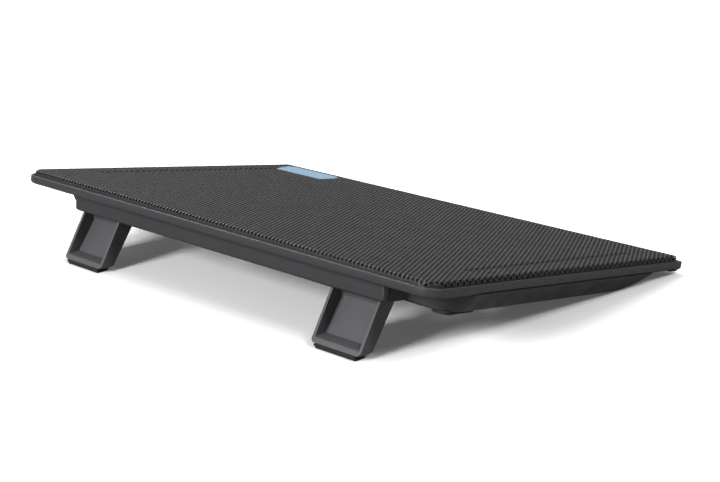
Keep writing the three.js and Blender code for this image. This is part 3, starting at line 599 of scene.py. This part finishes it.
def perforated_deck():
    points, faces, dark = deck_mesh()
    mesh = bpy.data.meshes.new("deck_sheet")
    mesh.from_pydata(row(points).tolist(), [], faces)
    mesh.attributes.new(PAINTED_HOLE_SHADE, "FLOAT", "FACE").data.foreach_set("value", dark)
    smooth_shading(mesh, DECK_SHARP_DEGREES)
    add_piece("deck_sheet", mesh, "mesh_deck")


# ---- case screws ----
# In millimetres. The head's outer face is the lowest, and the tip points up into the pad.
SCREW_SIDES = 24
DOME = ((0.7, 0.0), (0.2, 0.2), (0.0, 0.6))  # the head's rings: how far drawn in, and how far up
RIDGE = {"pitch": 1.0, "depth": 0.3, "root": 0.55, "crest": 0.75}
TIP = {"radius": 0.3, "length": 0.9}
AT_TIP = 0.1  # a CAD screw's points this close to its highest one give the shank's radius
CROSS = {"arm": 1.45, "half_width": 0.38, "depth": 1.1}
CROSS_POINTS = 12


def circle(radius, height):
    angles = np.arange(SCREW_SIDES) * 2 * math.pi / SCREW_SIDES
    return [(radius * math.cos(a), radius * math.sin(a), height) for a in angles]


def cross(height):
    """The corners of the driver's recess at a height."""
    arm, half = CROSS["arm"], CROSS["half_width"]
    corners = []
    for cos, sin in ((1, 0), (0, 1), (-1, 0), (0, -1)):
        for u, v in ((arm, -half), (arm, half), (half, half)):
            corners.append((u * cos - v * sin, u * sin + v * cos, height))
    return corners


def band(first, second, count):
    """Faces between two rings of points that start at these indices."""
    following = [(i + 1) % count for i in range(count)]
    return [(first + i, first + j, second + j, second + i) for i, j in enumerate(following)]


def screw_rings(points):
    """Rings over the head's dome, along the shank's ridges and to the tip, sized by a CAD screw."""
    low, seat, high = np.unique(points[:, 2].round(1))
    head = np.ptp(points[:, 0]) / 2
    shank = np.ptp(points[points[:, 2] > high - AT_TIP][:, 0]) / 2
    core = shank - RIDGE["depth"]
    rings = [circle(head - inset, low + rise) for inset, rise in DOME] + [circle(head, seat)]
    for turn in range(int((high - seat - RIDGE["pitch"]) / RIDGE["pitch"])):
        foot = seat + turn * RIDGE["pitch"]
        rings += [circle(core, foot), circle(core, foot + RIDGE["root"])]
        rings.append(circle(shank, foot + RIDGE["crest"]))
    return rings + [circle(core, high - TIP["length"]), circle(TIP["radius"], high)]


def head_face(outer, recess, recess_start):
    """The head's flat face, cut out round the recess."""
    index = [*range(SCREW_SIDES), *range(recess_start, recess_start + CROSS_POINTS)]
    loops = [[Vector(v) for v in outer], [Vector(v) for v in recess]]
    return [tuple(index[v] for v in face) for face in tessellate_polygon(loops)]


def screw_mesh(rings):
    """Points and faces: the rings' bands, the tip, the head's face and the recess."""
    low = rings[0][0][2]
    mouth, floor = cross(low), cross(low + CROSS["depth"])
    count = len(rings) * SCREW_SIDES
    last = count - SCREW_SIDES
    faces = []
    for start in range(0, last, SCREW_SIDES):
        faces += band(start, start + SCREW_SIDES, SCREW_SIDES)
    faces.append(tuple(range(last, count)))
    faces += head_face(rings[0], mouth, count)
    faces += band(count, count + CROSS_POINTS, CROSS_POINTS)
    faces.append(tuple(range(count + CROSS_POINTS, count + 2 * CROSS_POINTS)))
    return sum(rings, []) + mouth + floor, faces


def face_outward(mesh):
    bm = bmesh.new()
    bm.from_mesh(mesh)
    bmesh.ops.recalc_face_normals(bm, faces=bm.faces)
    bm.to_mesh(mesh)
    bm.free()


def screw(node, name):
    """A self-tapping screw: a domed head with a cross recess, and ridges in place of a thread."""
    points = node_points(node)
    center = (points.min(0) + points.max(0)) / 2 * (1, 1, 0)
    vertices, faces = screw_mesh(screw_rings(points))
    mesh = bpy.data.meshes.new(name)
    mesh.from_pydata(row(np.array(vertices) + center).tolist(), [], faces)
    face_outward(mesh)
    smooth_shading(mesh)
    add_piece(name, mesh, node)


# ---- studio ----
# The view, in degrees and millimetres.
FOCUS = Vector((10.81, 5.73, 14.41)) * MM
CAMERA = {"azimuth": 43.152, "elevation": 17.236, "distance": 989.2, "roll": -0.345}
LENS, SENSOR = 75.78, 36
FLOOR_SIZE = 30  # metres
# The floor as light bounces off it, and as the camera sees it.
FLOOR = {"Base Color": (0.3, 0.86), "Emission Strength": (0.0, 0.08)}
WALL = {"azimuth": 235, "elevation": 25}
# Brightness of the room, against the cosine between a direction and the wall's.
ROOM_LIGHT = {"From Min": -0.5, "From Max": 0.6, "To Min": 0.1, "To Max": 0.55}


def backward(azimuth, elevation):
    """From the object towards a viewer at this azimuth and elevation."""
    a, e = math.radians(azimuth), math.radians(elevation)
    return Vector((math.sin(a) * math.cos(e), -math.cos(a) * math.cos(e), math.sin(e)))


def camera():
    data = bpy.data.cameras.new("camera")
    data.lens = LENS
    data.sensor_width = SENSOR
    made = bpy.data.objects.new("camera", data)
    bpy.context.scene.collection.objects.link(made)
    back = backward(CAMERA["azimuth"], CAMERA["elevation"])
    made.location = FOCUS + back * CAMERA["distance"] * MM
    roll = Quaternion((0, 0, 1), math.radians(CAMERA["roll"]))
    made.rotation_euler = ((-back).to_track_quat("-Z", "Y") @ roll).to_euler()
    bpy.context.scene.camera = made


def area_light(name, azimuth, elevation, distance, size, power):
    """A disc aimed at the object, with lengths in metres and power in watts."""
    data = bpy.data.lights.new(name, "AREA")
    data.shape = "DISK"
    data.size = size
    data.energy = power
    made = bpy.data.objects.new(name, data)
    bpy.context.scene.collection.objects.link(made)
    back = backward(azimuth, elevation)
    made.location = FOCUS + back * distance
    made.rotation_euler = (-back).to_track_quat("-Z", "Y").to_euler()


def clear_from_below(tree, shader):
    """Shows a shader on a surface's upper side only, so that the underside can be looked at."""
    sides = tree.nodes.new("ShaderNodeMixShader")
    seen_from_below = tree.nodes.new("ShaderNodeNewGeometry").outputs["Backfacing"]
    tree.links.new(seen_from_below, sides.inputs[0])
    tree.links.new(shader.outputs[0], sides.inputs[1])
    tree.links.new(tree.nodes.new("ShaderNodeBsdfTransparent").outputs[0], sides.inputs[2])
    tree.links.new(sides.outputs[0], tree.nodes["Material Output"].inputs["Surface"])


def floor_finish():
    """Seen white by the camera, but lights the object less than white would. Clear from below."""
    material = bpy.data.materials.new("floor_white")
    material.use_nodes = True
    tree = material.node_tree
    seen = tree.nodes.new("ShaderNodeLightPath").outputs["Is Camera Ray"]
    shader = tree.nodes["Principled BSDF"]
    for name, (bounced, direct) in FLOOR.items():
        level = tree.nodes.new("ShaderNodeMapRange")
        level.inputs["To Min"].default_value = bounced
        level.inputs["To Max"].default_value = direct
        tree.links.new(seen, level.inputs["Value"])
        tree.links.new(level.outputs["Result"], shader.inputs[name])
    shader.inputs["Roughness"].default_value = 0.8
    shader.inputs["Specular IOR Level"].default_value = 0.1
    shader.inputs["Emission Color"].default_value = (1.0, 0.97, 1.0, 1)
    clear_from_below(tree, shader)
    return material


def backdrop(tree):
    """A pale wall beyond the object, fading to a dim room behind the camera."""
    view = tree.nodes.new("ShaderNodeTexCoord").outputs["Generated"]
    towards = tree.nodes.new("ShaderNodeVectorMath")
    towards.operation = "DOT_PRODUCT"
    tree.links.new(view, towards.inputs[0])
    towards.inputs[1].default_value = backward(**WALL)
    strength = tree.nodes.new("ShaderNodeMapRange")
    tree.links.new(towards.outputs["Value"], strength.inputs["Value"])
    for key, value in ROOM_LIGHT.items():
        strength.inputs[key].default_value = value
    wall = tree.nodes["Background"]
    wall.inputs["Color"].default_value = (1.0, 0.99, 0.985, 1)
    tree.links.new(strength.outputs["Result"], wall.inputs["Strength"])


def studio():
    bpy.ops.mesh.primitive_plane_add(size=FLOOR_SIZE, location=(0, 0, 0))
    floor = bpy.context.object
    floor.name = "floor"
    floor.data.materials.append(floor_finish())
    world = bpy.data.worlds.new("studio")
    bpy.context.scene.world = world
    world.use_nodes = True
    backdrop(world.node_tree)
    area_light("key_rear", azimuth=356, elevation=26, distance=2.4, size=0.7, power=66)
    area_light("top_front", azimuth=255, elevation=48, distance=2.4, size=1.0, power=46)
    area_light("side_right", azimuth=80, elevation=45, distance=1.5, size=0.5, power=14)
    bpy.context.scene.view_settings.view_transform = "Standard"


# ---- build ----
# The pieces on each side, as CAD node, new piece and rounding width in millimetres.
SIDE_PIECES = (
    ("leg", "stand_leg", 0.5),
    ("leg_sole", "stand_sole", 0.35),
    ("rear_foot", "rear_pad", 0.4),
    ("front_foot", "front_pad", 0.4),
)
SCREWS = 7

perforated_deck()
softened("upper_frame", "rim_tray")
softened("lower_shell", "belly_shell")
softened("badge_plate", "badge_inlay", 0.25)
for side in ("left", "right"):
    for node, piece, width in SIDE_PIECES:
        softened(f"{node}_{side}", f"{piece}_{side}", width)
for number in range(1, SCREWS + 1):
    screw(f"case_screw_{number}", f"cross_screw_{number}")
for node, shape in frame["nodes"].items():
    dress(shape, SLOTS[node])
studio()
camera()
